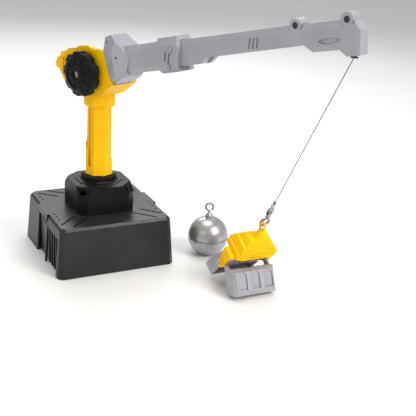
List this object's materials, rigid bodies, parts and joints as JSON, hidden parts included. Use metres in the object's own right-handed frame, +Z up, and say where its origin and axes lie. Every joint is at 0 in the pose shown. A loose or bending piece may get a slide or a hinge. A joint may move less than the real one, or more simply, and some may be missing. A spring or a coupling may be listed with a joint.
{
  "type": "toy tower crane",
  "caption": "Toy tower crane: square base, octagonal turning column, knob-driven winch in the head, long boom, hook line with clamshell grab, and a hook-on wrecking ball.",
  "frame": {"origin": "Centre of the underside of the square base, on the ground.", "axes": "+X along the base's front edge to the right, -Y towards the front, +Z up. At rest the boom lies at -65 degrees from +X."},
  "size_m": [0.2269, 0.3764, 0.3328],
  "materials": {
    "plastic_yellow": "satin moulded plastic",
    "plastic_black": "satin moulded plastic",
    "plastic_grey": "satin silver-grey plastic",
    "plastic_dark": "satin",
    "plastic_white": "satin",
    "ball_silver": "silver paint",
    "hook_metal": "plated",
    "metal_bright": "zinc plated",
    "line": "braided cord"
  },
  "bodies": {
    "base": {"base_shell": "plastic_black", "base_floor": "plastic_black", "floor_screws": "metal_bright", "pedestal": "plastic_black", "pedestal_screws": "metal_bright", "slew_collar": "plastic_black"},
    "mast": {"column": "plastic_yellow", "slew_washer": "metal_bright", "slew_screw": "metal_bright", "head_shell_near": "plastic_yellow", "head_shell_far": "plastic_yellow", "head_screws": "metal_bright", "boom_root": "plastic_grey", "root_screws": "metal_bright", "boom_collar_near": "plastic_grey", "boom_collar_far": "plastic_grey", "collar_bolts": "metal_bright", "boom_shell_near": "plastic_grey", "boom_shell_far": "plastic_grey", "boom_screws": "metal_bright", "line_guide": "plastic_dark", "tip_pin": "metal_bright", "line_inner": "line", "click_spring": "metal_bright"},
    "winch": {"winding_knob": "plastic_black", "winch_shaft": "metal_bright", "winch_drum": "plastic_black", "line_winding": "line", "knob_screw": "metal_bright", "click_wheel": "plastic_white"},
    "roller": {"tip_roller": "plastic_dark"},
    "line": {"hoist_line": "line"},
    "ferrule": {"line_ferrule": "metal_bright"},
    "hook": {"swivel_hook": "hook_metal"},
    "grab": {"grab_body": "plastic_yellow", "grab_frame": "plastic_yellow", "grab_eye": "plastic_yellow", "grab_slider": "plastic_grey", "grab_screws": "metal_bright", "pivot_pin": "metal_bright"},
    "jaw_near_body": {"jaw_near": "plastic_grey"},
    "jaw_far_body": {"jaw_far": "plastic_grey"},
    "ball": {"ball_upper": "ball_silver", "ball_lower": "ball_silver", "ball_cap": "ball_silver", "ball_hook": "hook_metal"}
  },
  "joints": [
    {"name": "slew", "type": "hinge", "parent": "base", "child": "mast", "pos_m": [0, 0, 0.1], "axis": [0, 0, 1], "range_deg": [-270, 0]},
    {"name": "winch_turn", "type": "hinge", "parent": "mast", "child": "winch", "pos_m": [0, 0, 0.225], "axis": [-0.9063, -0.4226, 0], "range_deg": [0, 900]},
    {"name": "tip_roller_spin", "type": "hinge", "parent": "mast", "child": "roller", "pos_m": [0.13481, -0.28911, 0.311], "axis": [-0.9063, -0.4226, 0], "range_deg": [0, 1920]},
    {"name": "line_plumb", "type": "hinge", "parent": "mast", "child": "line", "pos_m": [0.13663, -0.29301, 0.2938], "axis": [-0.9945, -0.1045, 0], "range_deg": [0, 28.2]},
    {"name": "hoist", "type": "slide", "parent": "line", "child": "ferrule", "axis": [0.0494, -0.47, 0.8813], "range_m": [0, 0.13], "deforming": ["hoist_line"]},
    {"name": "hook_swivel", "type": "hinge", "parent": "ferrule", "child": "hook", "pos_m": [0.12636, -0.19528, 0.11053], "axis": [0.0494, -0.47, 0.8813], "continuous": true},
    {"name": "grab_sway", "type": "hinge", "parent": "hook", "child": "grab", "pos_m": [0.12511, -0.18341, 0.08828], "axis": [-0.9985, -0.0431, 0.033], "range_deg": [-15, 0]},
    {"name": "jaw_near_close", "type": "hinge", "parent": "grab", "child": "jaw_near_body", "pos_m": [0.12211, -0.15484, 0.0347], "axis": [0.9985, 0.0431, -0.033], "range_deg": [0, 52]},
    {"name": "jaw_far_close", "type": "hinge", "parent": "grab", "child": "jaw_far_body", "pos_m": [0.12211, -0.15484, 0.0347], "axis": [-0.9985, -0.0431, 0.033], "range_deg": [0, 14]},
    {"name": "ball_lift", "type": "slide", "parent": "base", "child": "ball", "axis": [0, 0, 1], "range_m": [0, 0.1]}
  ],
  "couplings": [
    {"joint": "winch_turn", "follows": "hoist", "rad_per_m": 120.82},
    {"joint": "tip_roller_spin", "follows": "hoist", "rad_per_m": 257.34},
    {"joint": "line_plumb", "follows": "hoist", "rad_per_m": 3.7856},
    {"joint": "jaw_near_close", "follows": "hoist", "rad_per_m": 6.9806},
    {"joint": "jaw_far_close", "follows": "hoist", "rad_per_m": 1.8794}
  ]
}
